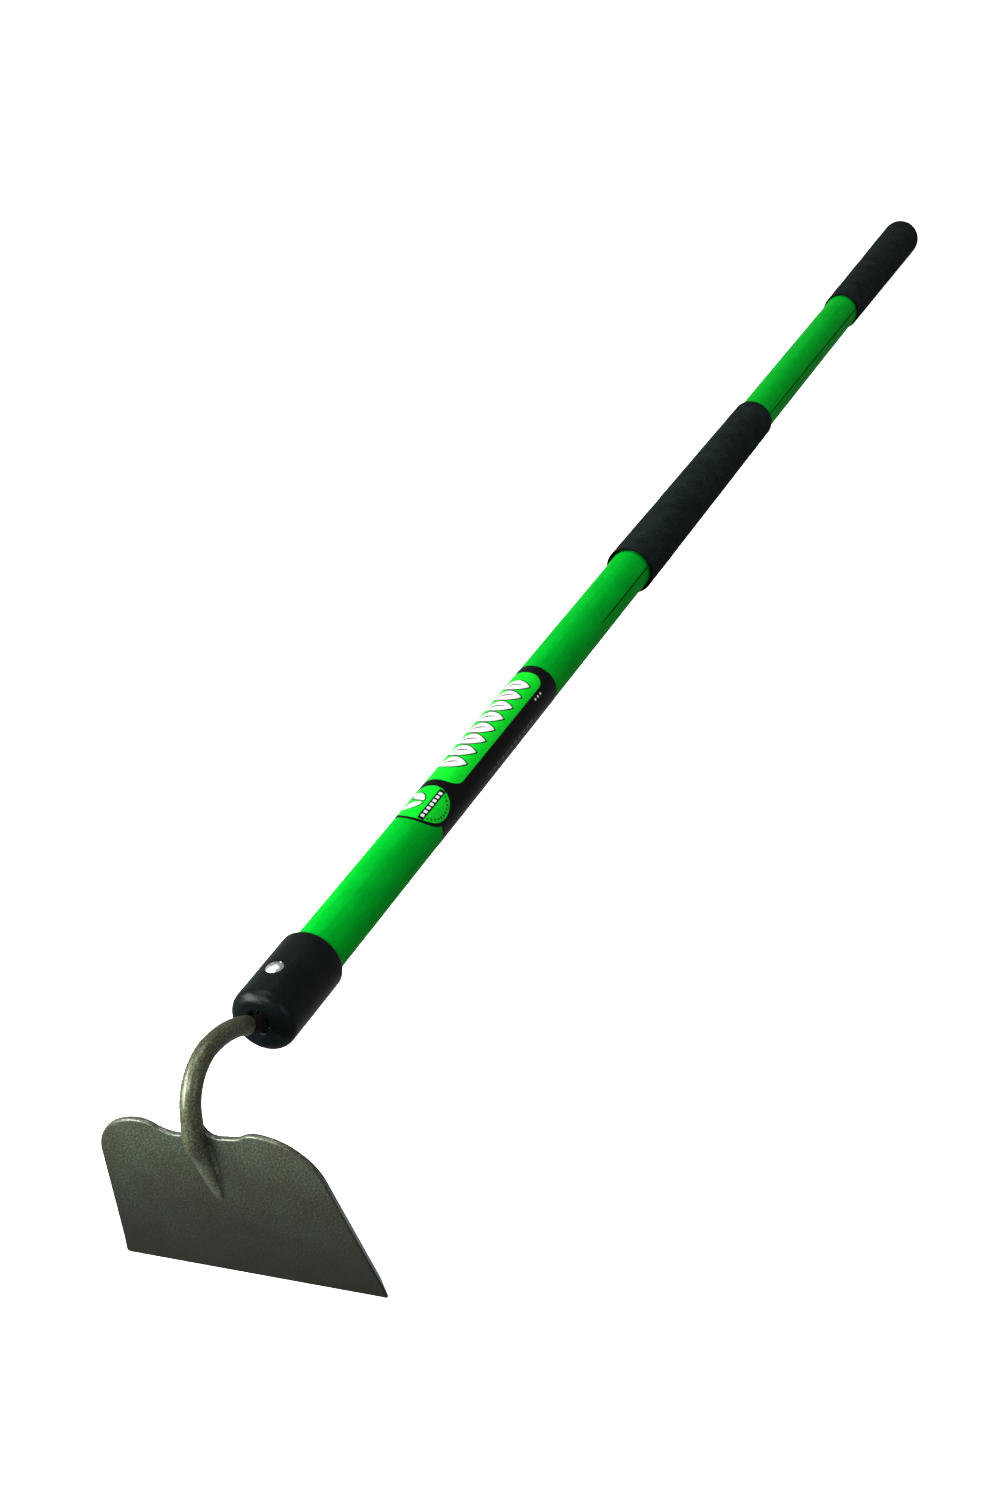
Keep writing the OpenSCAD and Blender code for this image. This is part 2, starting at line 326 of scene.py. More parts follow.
class Shader:
    """A node material being put together, with its textures in the millimetres of a local frame."""

    def __init__(self, name, place, **constants):
        self.material = bpy.data.materials.new(name)
        self.material.use_nodes = True
        self.tree = self.material.node_tree
        self.place = place
        self.surface = self.tree.nodes["Principled BSDF"]
        for socket, value in constants.items():
            self.surface.inputs[socket.replace("_", " ")].default_value = value

    def node(self, kind, links=(), **settings):
        made = self.tree.nodes.new(kind)
        for key, value in settings.items():
            if key in made.bl_rna.properties:
                setattr(made, key, value)
            else:
                made.inputs[key.replace("_", " ")].default_value = value
        for socket, source in dict(links).items():
            self.tree.links.new(source, made.inputs[socket])
        return made

    def coords(self, stretch=(1, 1, 1)):
        """Millimetres in the local frame, drawn out along each axis by stretch."""
        mapping = self.node("ShaderNodeMapping", vector_type="TEXTURE")
        mapping.inputs["Location"].default_value = self.place.to_translation()
        mapping.inputs["Rotation"].default_value = self.place.to_euler()
        mapping.inputs["Scale"].default_value = [MM * s for s in stretch]
        source = self.node("ShaderNodeTexCoord").outputs["Object"]
        self.tree.links.new(source, mapping.inputs["Vector"])
        return mapping.outputs["Vector"]

    def along(self, axis, start, end):
        """A value that goes from 0 to 1 between two places on an axis of the local frame."""
        parts = self.node("ShaderNodeSeparateXYZ", {"Vector": self.coords()})
        value = {"Value": parts.outputs[axis]}
        return self.node("ShaderNodeMapRange", value, From_Min=start, From_Max=end).outputs["Result"]

    def noise(self, size, stretch=(1, 1, 1), detail=3.0, roughness=0.5):
        """Noise whose features are about size millimetres across."""
        place = {"Vector": self.coords(stretch)}
        texture = self.node("ShaderNodeTexNoise", place, Scale=1 / size, Detail=detail, Roughness=roughness)
        return texture.outputs["Fac"]

    def pores(self, size, detail=0.0):
        """Distance to the nearest of scattered points about size millimetres apart."""
        place = {"Vector": self.coords()}
        texture = self.node("ShaderNodeTexVoronoi", place, Scale=1 / size, Detail=detail)
        return texture.outputs["Distance"]

    def ramp(self, fac, *stops):
        """Maps a value through (position, colour) stops; a single number stands for a grey."""
        made = self.node("ShaderNodeValToRGB", {"Fac": fac})
        elements = made.color_ramp.elements
        while len(elements) < len(stops):
            elements.new(0.5)
        for element, (position, colour) in zip(elements, stops):
            element.position = position
            grey = isinstance(colour, (int, float))
            element.color = (colour, colour, colour, 1) if grey else (*colour, 1)
        return made.outputs["Color"]

    def blend(self, fac, a, b, kind="MIX"):
        """Mixes two colour outputs by a value."""
        made = self.node("ShaderNodeMix", data_type="RGBA", blend_type=kind)
        for socket, source in ((0, fac), (6, a), (7, b)):
            if isinstance(source, (int, float)):
                made.inputs[socket].default_value = source
            else:
                self.tree.links.new(source, made.inputs[socket])
        return made.outputs[2]

    def set(self, socket, source):
        self.tree.links.new(source, self.surface.inputs[socket])

    def bump(self, height, depth, under=None):
        """Adds relief depth millimetres deep to the surface's normal."""
        links = {"Height": height}
        if under:
            links["Normal"] = under
        made = self.node("ShaderNodeBump", links, Strength=1.0, Distance=depth * MM)
        self.set("Normal", made.outputs["Normal"])
        return made.outputs["Normal"]


# ---------------------------------------------------------------- materials

def edge_reflection_and_bare_bevel(look, colour):
    """Lighter grey on the blade's side faces and its bevel. On the sides it is a painted reflection of the
    floor, since the backdrop is hidden from glossy rays; a bare bevel is a guess."""
    inside = look.ramp(look.along("X", 0.0, 3.0), (0.17, 0.0), (0.27, 1.0), (0.77, 1.0), (0.85, 0.0))
    lower = look.ramp(look.along("Z", 55.0, 85.0), (0.0, 0.75), (1.0, 0.0))
    # On the side faces this grey is a painted reflection of the floor, fading out from 55 to 85 mm up the
    # blade; on the bevel it is guessed bare steel.
    steel = look.ramp(look.noise(1.5, detail=4.0), (0.3, (0.20, 0.225, 0.235)), (0.7, (0.30, 0.33, 0.34)))
    return look.blend(look.blend(1.0, inside, lower, "MULTIPLY"), colour, steel)


def lacquer(name, flake, patch, coat, low, high, full, edge_colour=None):
    """Bronze-grey lacquer over steel: metallic flakes and fine pits under a clear coat.
    Its colour darkens from the blade's top to the cutting edge: painted shade and light, ramped by height."""
    look = Shader(name, BLADE, Metallic=0.45, Coat_Weight=coat, Coat_Roughness=0.10, Specular_IOR_Level=0.3)
    flakes = look.noise(flake, detail=4.0, roughness=0.72)
    fine = look.ramp(flakes, (0.32, (0.013, 0.016, 0.010)), (0.5, (0.048, 0.055, 0.039)),
                     (0.69, (0.150, 0.160, 0.118)))
    cloud = look.noise(patch, detail=5.0, roughness=0.6)
    patches = look.ramp(cloud, (0.32, (0.82, 0.70, 0.58)), (0.5, (0.95, 0.93, 0.86)),
                        (0.66, (0.98, 1.16, 1.08)))
    # Painted shade and light: the colour is ramped by height above the cutting edge, through the low, high
    # and full tints.
    painted_height_shade = look.ramp(look.along("Z", 0.0, 110.0), (0.0, (0.125, 0.12, 0.10)), (0.2, (0.22, 0.22, 0.19)),
                        (0.45, low), (0.7, high), (0.93, full))
    colour = look.blend(1.0, look.blend(1.0, fine, patches, "MULTIPLY"), painted_height_shade, "MULTIPLY")
    look.set("Base Color", edge_colour(look, colour) if edge_colour else colour)
    look.set("Roughness", look.ramp(look.noise(6.0, detail=5.0), (0.3, 0.42), (0.7, 0.56)))
    pits = look.bump(look.noise(1.1, detail=4.0, roughness=0.65), 0.05)
    look.bump(look.noise(9.0, detail=2.0), 0.12, pits)
    return look.material


def shaded_root_steel():
    """The bar's root by the ferrule's mouth, in dark brown-black: painted shade and a painted reflection of
    the black ferrule.
    """
    look = Shader("shaded_root_steel", HANDLE, Specular_IOR_Level=0.1)
    patches = look.noise(1.6, detail=4.0)
    look.set("Base Color", look.ramp(patches, (0.3, (0.0035, 0.003, 0.0018)), (0.7, (0.008, 0.0065, 0.004))))
    look.set("Roughness", look.ramp(look.noise(2.0, detail=3.0), (0.3, 0.6), (0.7, 0.8)))
    look.bump(look.noise(0.9, detail=3.0), 0.06)
    return look.material


def moulded_black():
    """Black plastic with a coarse spark-eroded grain and faint flow marks."""
    look = Shader("moulded_black", HANDLE, Specular_IOR_Level=0.09)
    flow = look.noise(9.0, stretch=(2.5, 1, 1), detail=4.0)
    patches = look.ramp(flow, (0.3, (0.0020, 0.0036, 0.0040)), (0.75, (0.0036, 0.0060, 0.0066)))
    grain = look.noise(1.1, detail=4.0, roughness=0.7)
    speckle = look.ramp(grain, (0.35, 0.55), (0.65, 1.25))
    look.set("Base Color", look.blend(1.0, patches, speckle, "MULTIPLY"))
    look.set("Roughness", look.ramp(look.noise(5.0, detail=4.0), (0.3, 0.24), (0.75, 0.36)))
    fine = look.bump(grain, 0.07)
    look.bump(look.noise(4.5, detail=2.0), 0.06, fine)
    return look.material


def green_fibreglass():
    """Pigmented glass-fibre laminate: fibres show as faint long streaks in a cloudy pigment."""
    look = Shader("green_fibreglass", HANDLE, Specular_IOR_Level=0.006)
    fibres = look.noise(1.1, stretch=(120, 1, 1), detail=3.0, roughness=0.55)
    clouds = look.noise(9.0, stretch=(2.2, 1, 1), detail=5.0, roughness=0.6)
    deep = look.ramp(fibres, (0.2, (0.0, 0.29, 0.012)), (0.85, (0.001, 0.37, 0.022)))
    shade = look.ramp(clouds, (0.28, 0.80), (0.72, 1.03))
    look.set("Base Color", look.blend(1.0, deep, shade, "MULTIPLY"))
    rubbed = look.noise(3.0, stretch=(10, 1, 1), detail=3.0)
    look.set("Roughness", look.ramp(rubbed, (0.3, 0.28), (0.7, 0.42)))
    relief = look.bump(look.noise(0.8, stretch=(90, 1, 1), detail=2.0), 0.015)
    look.bump(look.noise(11.0, stretch=(6, 1, 1), detail=1.0), 0.05, relief)
    return look.material


def seam_shade_green():
    """A dark green strip in the bottom of the seam's groove: painted shade that makes the seam show."""
    look = Shader("seam_shade_green", HANDLE, Specular_IOR_Level=0.02)
    patches = look.noise(6.0, detail=4.0)
    look.set("Base Color", look.ramp(patches, (0.3, (0.0, 0.008, 0.002)), (0.7, (0.0, 0.022, 0.004))))
    look.set("Roughness", look.ramp(look.noise(3.0, detail=3.0), (0.3, 0.5), (0.7, 0.8)))
    look.bump(look.noise(1.0, detail=3.0), 0.03)
    return look.material


def foam(name, start):
    """Closed-cell foam with open cut cells at its skin. The colour is darkened at its start: painted shade
    on the sleeve's end face."""
    look = Shader(name, HANDLE, Specular_IOR_Level=0.04)
    cells = look.pores(1.35)
    patches = look.noise(14.0, detail=4.0)
    skin = look.ramp(patches, (0.3, (0.0046, 0.0082, 0.0080)), (0.7, (0.0092, 0.0150, 0.0148)))
    grain = look.ramp(look.noise(1.6, detail=4.0, roughness=0.7), (0.34, 0.45), (0.66, 1.45))
    # Painted shade in the open cells: each is darker towards its middle, where it is dented in.
    pore_shade = look.ramp(cells, (0.0, 0.2), (0.4, 1.1))
    # Painted shade: the sleeve's end face is darkened over its first 2 mm.
    painted_end_shade = look.ramp(look.along("X", start + 0.2, start + 2.0), (0.0, 0.22), (1.0, 1.0))
    speckled = look.blend(1.0, look.blend(1.0, skin, pore_shade, "MULTIPLY"), grain, "MULTIPLY")
    look.set("Base Color", look.blend(1.0, speckled, painted_end_shade, "MULTIPLY"))
    look.set("Roughness", look.ramp(look.noise(2.5, detail=3.0), (0.3, 0.78), (0.7, 0.95)))
    open_cells = look.bump(look.ramp(cells, (0.0, 0.0), (0.45, 1.0)), 0.16)
    look.bump(look.noise(2.2, detail=4.0, roughness=0.65), 0.25, open_cells)
    return look.material


def film(name, dark, light, roughness=0.22):
    """One ink of the printed label under its clear laminate."""
    look = Shader(name, HANDLE, Specular_IOR_Level=0.06)
    look.set("Base Color", look.ramp(look.noise(1.8, detail=4.0, roughness=0.6), (0.3, dark), (0.7, light)))
    look.set("Roughness", look.ramp(look.noise(7.0, detail=3.0), (0.3, roughness), (0.7, roughness + 0.12)))
    look.bump(look.noise(5.0, stretch=(3, 1, 1), detail=2.0), 0.02)
    return look.material


def rivet_steel():
    """Bright zinc-plated steel with small hammer marks and fine scratches."""
    look = Shader("rivet_steel", HANDLE, Metallic=1.0)
    patches = look.noise(1.4, detail=4.0)
    look.set("Base Color", look.ramp(patches, (0.3, (0.55, 0.57, 0.58)), (0.7, (0.86, 0.87, 0.88))))
    look.set("Roughness", look.ramp(look.noise(0.9, detail=3.0), (0.3, 0.24), (0.7, 0.42)))
    marks = look.bump(look.pores(1.7), 0.10)
    look.bump(look.noise(0.4, stretch=(6, 1, 1), detail=2.0), 0.015, marks)
    return look.material


def core_plastic():
    """Grey injection-moulded filler inside the tube, with a dull sheen and sink marks."""
    look = Shader("core_plastic", HANDLE, Specular_IOR_Level=0.4)
    patches = look.noise(6.0, detail=4.0)
    look.set("Base Color", look.ramp(patches, (0.3, (0.10, 0.095, 0.08)), (0.7, (0.17, 0.16, 0.14))))
    look.set("Roughness", look.ramp(look.noise(2.0, detail=3.0), (0.3, 0.5), (0.7, 0.7)))
    look.bump(look.noise(1.0, detail=3.0), 0.05)
    return look.material


def studio_paper():
    """Seamless paper with a very faint tooth. It glows with painted light, so that shadows hardly show on it.
    """
    look = Shader("studio_paper", Matrix.Scale(MM, 4), Specular_IOR_Level=0.0,
                  Emission_Color=(1, 1, 1, 1), Emission_Strength=0.95)
    patches = look.noise(900.0, detail=2.0)
    look.set("Base Color", look.ramp(patches, (0.3, (0.86, 0.86, 0.86)), (0.7, (0.885, 0.885, 0.885))))
    look.set("Roughness", look.ramp(look.noise(40.0, detail=2.0), (0.3, 0.85), (0.7, 0.95)))
    look.bump(look.noise(3.0, detail=3.0), 0.05)
    return look.material


# ---------------------------------------------------------------- camera and studio

def add_camera():
    data = bpy.data.cameras.new("photo_camera")
    data.lens = CAMERA_LENS
    data.sensor_width = 36
    data.clip_start = 0.02
    camera = bpy.data.objects.new("photo_camera", data)
    bpy.context.scene.collection.objects.link(camera)
    turn = Matrix.Rotation(-CAMERA_HEADING, 4, "Z") @ Matrix.Rotation(math.pi / 2 - CAMERA_DOWN, 4, "X")
    turn = turn @ Matrix.Rotation(-CAMERA_ROLL, 4, "Z")
    camera.matrix_world = Matrix.Translation(CAMERA_AT) @ turn
    bpy.context.scene.camera = camera


def add_backdrop(material):
    """A round floor whose rim sweeps up into a wall."""
    flat_r, bend_r, top = 7.0, 3.0, 5.0
    profile = [(0.001, 0.0), (1.0, 0.0), (3.0, 0.0)]
    profile += [(flat_r + bend_r * math.sin(a), bend_r * (1 - math.cos(a)))
                for a in (math.radians(90) * i / 16 for i in range(17))]
    profile.append((flat_r + bend_r, top))
    rings = [[(r * math.cos(a), r * math.sin(a), z) for a in even_angles(96)] for r, z in profile]
    verts, faces = loft(rings)
    faces = faces[:-1]
    mesh = bpy.data.meshes.new("backdrop")
    mesh.from_pydata(verts, [], faces)
    for face in mesh.polygons:
        face.use_smooth = True
    mesh.materials.append(material)
    backdrop = bpy.data.objects.new("backdrop", mesh)
    bpy.context.scene.collection.objects.link(backdrop)
    backdrop.visible_diffuse = False
    backdrop.visible_glossy = False


def add_softbox(name, at, aim, size, watts, colour=(1, 1, 1)):
    data = bpy.data.lights.new(name, "AREA")
    data.shape = "RECTANGLE"
    data.size, data.size_y = size
    data.energy = watts
    data.color = colour
    lamp = bpy.data.objects.new(name, data)
    bpy.context.scene.collection.objects.link(lamp)
    lamp.location = at
    lamp.rotation_euler = (Vector(aim) - Vector(at)).to_track_quat("-Z", "Y").to_euler()


def add_lights():
    world = bpy.data.worlds.new("studio")
    world.use_nodes = True
    world.node_tree.nodes["Background"].inputs["Color"].default_value = (1, 1, 1, 1)
    world.node_tree.nodes["Background"].inputs["Strength"].default_value = 0.32
    bpy.context.scene.world = world
    bpy.context.scene.view_settings.view_transform = "Standard"
    add_softbox("key", (-1.6, 1.6, 1.5), (-0.3, 0, 0.06), (1.8, 1.0), 106)
    add_softbox("front", (-1.9, 0.1, 1.75), (-0.65, 0, 0.06), (0.8, 0.8), 25)
    add_softbox("low_side", (-1.1, -1.7, 0.7), (-0.66, 0, 0.06), (0.8, 0.8), 6, (0.86, 0.94, 1.0))
    add_softbox("top", (0.2, 0.3, 3.0), (0, 0, 0), (2.4, 1.4), 48)
    add_softbox("blade_side", (-1.02, 0.32, 0.30), (-0.70, 0.03, 0.07), (0.25, 0.25), 4.0, (0.86, 1.0, 0.93))


# ---------------------------------------------------------------- blade

def blade_thickness(v):
    if v < BEVEL_H:
        return mix(EDGE_T, BLADE_T_LOW, v / BEVEL_H)
    return mix(BLADE_T_LOW, BLADE_T_TOP, min(1.0, (v - BEVEL_H) / 92.5))


def notch_lift(u):
    """The dip on the -Y side of the neck is a little shallower than its twin."""
    lift, middle, reach = NOTCH_LIFT
    return lift * math.exp(-((u - middle) / reach) ** 2)


def blade_loop(half_width):
    """The blade's closed outline from the front: along the edge, up the +Y side, over the top and down."""
    lean = 90 + SIDE_LEAN
    corner_run = CORNER_R * math.tan(math.radians(lean / 2))
    corner = walk([(CORNER_R, lean)], (half_width - corner_run, 0.0), 0, lean / CORNER_ROWS)
    foot = corner[-1]
    slope = math.tan(math.radians(SIDE_LEAN))
    strip_top = (foot[0] - slope * (BEVEL_H - foot[1]), BEVEL_H)
    strip = resample([foot, strip_top], STRIP_ROWS)
    shoulder_start = walk([(0, SIDE_LEN)], foot, lean)[-1]
    side = resample([strip_top, shoulder_start], SIDE_ROWS)
    top_right = walk(SHOULDER_ARCS + NOTCH_ARCS, shoulder_start, lean, 1.5)
    top_right.append((0.0, top_right[-1][1]))
    top_right = resample(top_right, BLADE_COLUMNS // 2)
    right = corner + strip[1:] + side[1:]
    bottom = resample([(-right[0][0], 0.0), right[0]], BLADE_COLUMNS)
    top = top_right + [(-u, v + notch_lift(-u)) for u, v in reversed(top_right[:-1])]
    left = [(-u, v) for u, v in reversed(right)]
    return bottom[:-1] + right[:-1] + top[:-1] + left[:-1]


def inward_normals(loop):
    result = []
    for i, here in enumerate(loop):
        before, after = loop[i - 1], loop[(i + 1) % len(loop)]
        a = (Vector(here) - Vector(before)).normalized()
        b = (Vector(after) - Vector(here)).normalized()
        bisector = (a + b).normalized()
        result.append(Vector((-bisector.y, bisector.x)) / max(0.5, bisector.dot(a)))
    return result


def blade_waves(u, v):
    """The slight unevenness of a rolled and pressed plate."""
    return 0.10 * noise.noise(Vector((u / 45, v / 32, 0.3))) * smoothstep(0, 14, v)


def fill_loop(loop, rows):
    """A grid of points over a four-sided loop: rows[i] is how far row i lies from the bottom to the top."""
    columns, height, total = BLADE_COLUMNS, len(rows) - 1, len(loop)
    bottom = [Vector(loop[j]) for j in range(columns + 1)]
    right = [Vector(loop[columns + i]) for i in range(height + 1)]
    top = [Vector(loop[2 * columns + height - j]) for j in range(columns + 1)]
    left = [Vector(loop[(total - i) % total]) for i in range(height + 1)]
    grid = []
    for i, t in enumerate(rows):
        row = []
        for j in range(columns + 1):
            s = j / columns
            edges = mix(bottom[j], top[j], t) + mix(left[i], right[i], s)
            corners = mix(mix(bottom[0], bottom[-1], s), mix(top[0], top[-1], s), t)
            row.append(edges - corners)
        grid.append(row)
    return grid


def blade_skin():
    points = node_points("blade", BLADE)
    lean = math.radians(90 + SIDE_LEAN)
    half_width = max(p.y for p in points) + CORNER_R * (math.tan(lean / 2) - 1)
    loop = blade_loop(half_width)
    normals = inward_normals(loop)
    profile_rings = []
    front_steps, back_steps = 6, 4
    for k in range(front_steps + back_steps + 2):
        ring = []
        for (u, v), normal in zip(loop, normals):
            t = blade_thickness(v)
            front_r, back_r = min(FRONT_ROUND, 0.42 * t), min(BACK_ROUND, 0.35 * t)
            if k <= front_steps:
                a = math.radians(90) * k / front_steps
                x, inset = front_r * (1 - math.cos(a)), front_r * (1 - math.sin(a))
            else:
                a = math.radians(90) * (k - front_steps - 1) / back_steps
                x, inset = t - back_r * (1 - math.sin(a)), back_r * (1 - math.cos(a))
            place = Vector((u, v)) + normal * inset
            ring.append((x, place.x, place.y))
        profile_rings.append(ring)
    low_rows = CORNER_ROWS + STRIP_ROWS
    rows = [0.0] * low_rows + [i / SIDE_ROWS for i in range(SIDE_ROWS + 1)]
    front = fill_loop([(p[1], p[2]) for p in profile_rings[0]], rows)
    back = fill_loop([(p[1], p[2]) for p in profile_rings[-1]], rows)
    verts = [p for ring in profile_rings for p in ring]
    n = len(loop)
    faces = [(a * n + i, a * n + (i + 1) % n, (a + 1) * n + (i + 1) % n, (a + 1) * n + i)
             for a in range(len(profile_rings) - 1) for i in range(n)]
    for grid, is_front in ((front, True), (back, False)):
        first = len(verts)
        width = BLADE_COLUMNS + 1
        for i, row in enumerate(grid):
            for j, p in enumerate(row):
                inside = 0 < i < len(grid) - 1 and 0 < j < BLADE_COLUMNS
                wave = blade_waves(p.x, p.y) if inside else 0.0
                x = wave if is_front else blade_thickness(p.y) + wave
                verts.append((x, p.x, p.y))
        faces += [(first + i * width + j, first + i * width + j + 1,
                   first + (i + 1) * width + j + 1, first + (i + 1) * width + j)
                  for i in range(len(grid) - 1) for j in range(BLADE_COLUMNS)]
    return verts, faces


# ---------------------------------------------------------------- gooseneck

def bar_ahead(heading):
    return Vector((-math.cos(heading), 0, math.sin(heading)))


def bar_up(heading):
    return Vector((math.sin(heading), 0, math.cos(heading)))


def neck_stations():
    """(centre, heading, radius) along the bar, from the tang's end through the arch to the foot's point."""
    stations = [(Vector((MOUTH_X + TANG_LEN * (1 - i / (TANG_STATIONS - 1)), 0, 0)), 0.0, TANG_R)
                for i in range(TANG_STATIONS)]
    here, heading, radius = stations[-1]
    for bend, amount, end_radius in NECK_MOVES:
        count = math.ceil(abs(amount) / (2.0 if bend else 1.2))
        turn = math.radians(amount) if bend else 0.0
        side = math.copysign(1, amount)
        centre = here + side * bend * bar_up(heading)
        start, start_heading = here, heading
        for i in range(1, count + 1):
            heading = start_heading + turn * i / count
            if bend:
                here = centre - side * bend * bar_up(heading)
            else:
                here = start + amount * i / count * bar_ahead(heading)
            stations.append((here, heading, mix(radius, end_radius, i / count)))
        radius = end_radius
    return stations


def foot_ring(v):
    """One level section of the foot in the blade's frame: a round ridge with hollow fillets."""
    t = max(0.0, (v - FOOT_TIP) / (FOOT_TOP - FOOT_TIP))
    height = FOOT_HEIGHT * t ** 0.92
    fillet = min(FOOT_FILLET, 0.42 * height)
    half_width = FOOT_HALF_WIDTH * t ** 0.36 - 0.5 * fillet
    middle = FOOT_LEAN * (1 - t)
    round_steps, fillet_steps, under_steps = FOOT_STEPS
    half = []
    for i in range(round_steps + 1):
        a = math.radians(90) * i / round_steps
        half.append((-fillet - (height - fillet) * math.cos(a), half_width * math.sin(a)))
    for i in range(1, fillet_steps + 1):
        a = math.radians(90) * i / fillet_steps
        half.append((-fillet + fillet * math.sin(a), half_width + fillet * (1 - math.cos(a))))
    foot_width = half_width + fillet
    for i in range(1, under_steps + 1):
        a = math.radians(90) * i / under_steps
        half.append((0.2 + FOOT_SUNK * math.sin(a), foot_width * math.cos(a)))
    return [(x, middle + u, v) for x, u in half] + [(x, middle - u, v) for x, u in reversed(half[1:-1])]


def lacquer_start(stations):
    """Index of the first station on the painted part of the bar, a set length past the ferrule's mouth."""
    run = 0.0
    for i in range(TANG_STATIONS, len(stations)):
        run += (stations[i][0] - stations[i - 1][0]).length
        if run >= LACQUER_FROM:
            return i


def tang_skin():
    """The root of the bar, dark with painted shade, from inside the handle to a little way into the lacquered
    part.
    """
    stations = neck_stations()
    rings = []
    for centre, heading, _ in stations[:lacquer_start(stations) + 2]:
        rings.append([centre + ROOT_R * (math.cos(a) * bar_up(heading) + math.sin(a) * SIDEWAYS)
                      for a in even_angles(48)])
    return loft(rings)


def neck_skin():
    """The painted bar, which runs down over the blade's face and flattens into the foot."""
    to_blade = BLADE.inverted() @ HANDLE
    to_handle = to_blade.inverted()
    stations = neck_stations()
    first = lacquer_start(stations)
    centre, heading, radius = stations[first]
    start = [(centre - back * bar_ahead(heading), heading, radius - less)
             for back, less in ((0.9, 1.4), (0.8, 0.7), (0.5, 0.2))]
    half_count = sum(FOOT_STEPS)
    rings = []
    for centre, heading, radius in start + stations[first:]:
        v = (to_blade @ centre).z
        ring = []
        for i in range(2 * half_count):
            a = math.pi * i / half_count
            ring.append(centre + radius * (math.cos(a) * bar_up(heading) + math.sin(a) * SIDEWAYS))
        heads_down = len(rings) > len(stations) // 2
        weight = 1 - smoothstep(BLEND_LOW, BLEND_TOP, v) if heads_down else 0.0
        if weight > 0:
            foot = [to_handle @ Vector(p) for p in foot_ring(v)]
            ring = [p.lerp(q, weight) for p, q in zip(ring, foot)]
        rings.append(ring)
        if weight >= 1:
            break
    count = 40
    for i in range(1, count + 1):
        level = FOOT_TIP + (v - FOOT_TIP) * (1 - i / count) ** 1.15
        rings.append([to_handle @ Vector(p) for p in foot_ring(max(level, FOOT_TIP + 0.05))])
    return loft(rings)


# ---------------------------------------------------------------- ferrule and rivet

def slot_radius(angle):
    """Distance from the slot's centre to its edge, at an angle from straight up."""
    half_rise = MOUTH_RISE / 2
    across, up = abs(math.sin(angle)), math.cos(angle)
    if across > 1e-6:
        r = MOUTH_R / across
        if abs(r * up) <= half_rise:
            return r
    shift = half_rise * abs(up)
    return shift + math.sqrt(MOUTH_R ** 2 - half_rise ** 2 + shift ** 2)


def ferrule_skin():
    start, end, rim_r = handle_span("ferrule")
    tube_r = handle_span("handle_tube")[2]
    closed_r = rim_r - 0.2
    angles = even_angles(144)
    middle = MOUTH_RISE / 2

    def slot_ring(x, grow):
        return [(x, -(slot_radius(a) + grow) * math.sin(a), middle + (slot_radius(a) + grow) * math.cos(a))
                for a in angles]

    rings = [slot_ring(FERRULE_WALL, 0), slot_ring(MOUTH_LIP + 1.5, 0)]
    for i in range(6):
        a = math.radians(90) * i / 5
        rings.append(slot_ring(start + MOUTH_LIP * (1 - math.sin(a)), MOUTH_LIP * (1 - math.cos(a))))
    face_r = closed_r - FERRULE_END_ROUND
    rim = rings[-1]
    edge = turned([(start, face_r)], angles)[0]
    for t in (0.35, 0.7):
        rings.append([tuple(mix(a, b, t) for a, b in zip(p, q)) for p, q in zip(rim, edge)])
    outline = arc((start + FERRULE_END_ROUND, face_r), (FERRULE_END_ROUND,) * 2, 180, 90, 12)
    rim_centre = (end - FERRULE_RIM_ROUND, rim_r - FERRULE_RIM_ROUND)
    outline += line(outline[-1], (rim_centre[0], rim_r), 24)
    outline += arc(rim_centre, (FERRULE_RIM_ROUND,) * 2, 90, 0, 10)
    outline += [(end, tube_r + 0.35), (end - 0.3, tube_r + 0.12), (end - 3, tube_r + 0.06)]
    outline += [(FERRULE_WALL, tube_r + 0.06)]

    def moulded(x, r, a):
        return r + 0.05 * noise.noise(Vector((x / 14, 2.2 * math.sin(a), 2.2 * math.cos(a))))

    rings += turned(outline, angles, moulded)
    return loft(rings, closed=True)


def spool_skin(seat, pocket_r, hole_r):
    """The cutter for the rivet's hole and for the two flat seats under its heads."""
    far = 30
    profile = [(-far, pocket_r), (-seat, pocket_r), (-seat, hole_r)]
    profile += [(-z, r) for z, r in reversed(profile)]
    x = rivet_place_x()
    rings = [[(x + r * math.cos(a), r * math.sin(a), z) for a in even_angles(64)] for z, r in profile]
    return loft(rings)


def rivet_place_x():
    start, end, _ = handle_span("rivet")
    return (start + end) / 2


def cut(piece, skin, place):
    """Cuts a closed skin out of a piece and leaves the result as its mesh."""
    verts, faces = skin
    mesh = bpy.data.meshes.new("cutter")
    mesh.from_pydata([place @ Vector(v) for v in verts], [], faces)
    cleaned = bmesh.new()
    cleaned.from_mesh(mesh)
    bmesh.ops.recalc_face_normals(cleaned, faces=cleaned.faces)
    cleaned.to_mesh(mesh)
    cleaned.free()
    cutter = bpy.data.objects.new("cutter", mesh)
    bpy.context.scene.collection.objects.link(cutter)
    modifier = piece.modifiers.new("cut", "BOOLEAN")
    modifier.object = cutter
    modifier.operation = "DIFFERENCE"
    modifier.solver = "EXACT"
    bpy.context.view_layer.update()
    result = bpy.data.meshes.new_from_object(piece.evaluated_get(bpy.context.evaluated_depsgraph_get()))
    piece.modifiers.remove(modifier)
    result.set_sharp_from_angle(angle=SMOOTH_BELOW)
    piece.data = result
    bpy.data.objects.remove(cutter)


def dome(rim_r, height, seat, side):
    """Rings' (radius, height) from a head's rim up to its crown, which a hammer has flattened a little."""
    ball_r = (rim_r ** 2 + height ** 2) / (2 * height)
    result = [(rim_r - 0.15, seat), (rim_r, seat + 0.15)]
    for i in range(1, 14):
        r = rim_r * math.cos(math.radians(90) * i / 14)
        z = ball_r - math.sqrt(ball_r ** 2 - r ** 2)
        result.append((r, seat + height - z))
    result.append((0.02, seat + height))
    return [(r, side * z) for r, z in result]


